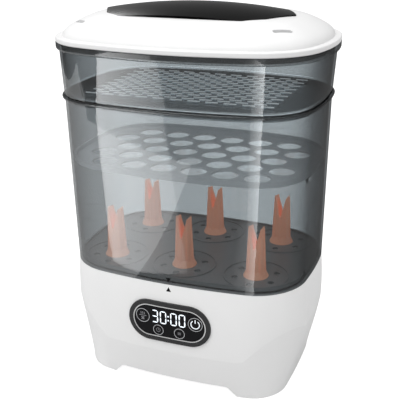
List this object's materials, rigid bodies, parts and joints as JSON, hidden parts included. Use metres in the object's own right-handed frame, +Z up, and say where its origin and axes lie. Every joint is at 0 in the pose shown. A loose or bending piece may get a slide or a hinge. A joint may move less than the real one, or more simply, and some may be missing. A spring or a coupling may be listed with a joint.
{
  "type": "bottle sterilizer",
  "caption": "Countertop steam steriliser and dryer with a white base and key panel, a smoke-tinted chamber, peg rack, tray, upper tier and domed lid that lift off in turn.",
  "frame": {"origin": "on the surface it stands on, under the middle of the four feet", "axes": "+Z up, the key panel faces -Y, +X to the right seen from the front"},
  "size_m": [0.2926, 0.2084, 0.407],
  "materials": {
    "white_shell": "moulded satin gloss",
    "grey_plastic": "moulded matt",
    "rubber": "soft matt",
    "steel": "brushed",
    "black_gloss": "high gloss",
    "silver_trim": "satin plated",
    "circuit_board": "solder mask",
    "dark_part": "moulded",
    "silicone": "silicone",
    "filter_foam": "pleated fleece",
    "tinted_clear": "smoke-tinted clear plastic",
    "peach_plastic": "translucent satin",
    "frosted_grey": "frosted"
  },
  "bodies": {
    "base": {"base_housing": "white_shell", "bottom_cover": "grey_plastic", "bottom_screws": "steel", "foot_front_left": "rubber", "foot_front_right": "rubber", "foot_rear_left": "rubber", "foot_rear_right": "rubber", "panel_bezel": "black_gloss", "panel_trim": "silver_trim", "panel_lens": "black_gloss", "control_board": "circuit_board", "display_module": "black_gloss", "key_switches": "dark_part", "heating_plate": "steel", "plate_seal": "silicone", "heater_element": "steel", "thermostat": "steel", "thermal_fuse": "dark_part", "blower_scroll": "grey_plastic", "blower_cover": "grey_plastic", "fan_motor": "steel", "air_duct": "grey_plastic", "ptc_heater": "dark_part", "air_outlet": "grey_plastic", "cord_gland": "grey_plastic", "power_board": "circuit_board", "power_relay": "dark_part", "transformer": "dark_part", "capacitors": "dark_part", "mains_terminal": "dark_part"},
    "drum": {"drum_shell": "tinted_clear"},
    "rack": {"rack_floor": "tinted_clear", "peg_front_left": "peach_plastic", "peg_front_middle": "peach_plastic", "peg_front_right": "peach_plastic", "peg_rear_left": "peach_plastic", "peg_rear_middle": "peach_plastic", "peg_rear_right": "peach_plastic"},
    "tray": {"mid_tray": "frosted_grey"},
    "tier": {"upper_tier": "tinted_clear"},
    "lid": {"lid_shell": "white_shell", "lid_cap": "black_gloss", "cap_screws": "steel"},
    "key_mode": {"keycap_mode": "black_gloss"},
    "key_power": {"keycap_power": "black_gloss"},
    "key_left": {"keycap_left": "black_gloss"},
    "key_right": {"keycap_right": "black_gloss"},
    "impeller": {"fan_impeller": "dark_part", "motor_shaft": "steel"},
    "filter": {"filter_element": "filter_foam"},
    "filter_door": {"filter_cover": "white_shell"}
  },
  "joints": [
    {"name": "drum_lift", "type": "slide", "parent": "base", "child": "drum", "axis": [0, 0, 1], "range_m": [0, 0.12]},
    {"name": "rack_lift", "type": "slide", "parent": "drum", "child": "rack", "axis": [0, 0, 1], "range_m": [0, 0.2]},
    {"name": "tray_lift", "type": "slide", "parent": "rack", "child": "tray", "axis": [0, 0, 1], "range_m": [0, 0.1]},
    {"name": "tier_lift", "type": "slide", "parent": "tray", "child": "tier", "axis": [0, 0, 1], "range_m": [0, 0.1]},
    {"name": "lid_lift", "type": "slide", "parent": "tier", "child": "lid", "axis": [0, 0, 1], "range_m": [0, 0.09]},
    {"name": "key_mode_press", "type": "slide", "parent": "base", "child": "key_mode", "axis": [0, 1, 0], "range_m": [0, 0.0006], "stiffness_N_per_m": 900},
    {"name": "key_power_press", "type": "slide", "parent": "base", "child": "key_power", "axis": [0, 1, 0], "range_m": [0, 0.0006], "stiffness_N_per_m": 900},
    {"name": "key_left_press", "type": "slide", "parent": "base", "child": "key_left", "axis": [0, 1, 0], "range_m": [0, 0.0006], "stiffness_N_per_m": 900},
    {"name": "key_right_press", "type": "slide", "parent": "base", "child": "key_right", "axis": [0, 1, 0], "range_m": [0, 0.0006], "stiffness_N_per_m": 900},
    {"name": "impeller_spin", "type": "hinge", "parent": "base", "child": "impeller", "pos_m": [0.06, 0.024, 0.04], "axis": [0, 0, 1], "continuous": true},
    {"name": "filter_slide", "type": "slide", "parent": "base", "child": "filter", "axis": [0, 1, 0], "range_m": [0, 0.04]},
    {"name": "filter_door_slide", "type": "slide", "parent": "filter", "child": "filter_door", "axis": [0, 1, 0], "range_m": [0, 0.03]}
  ]
}
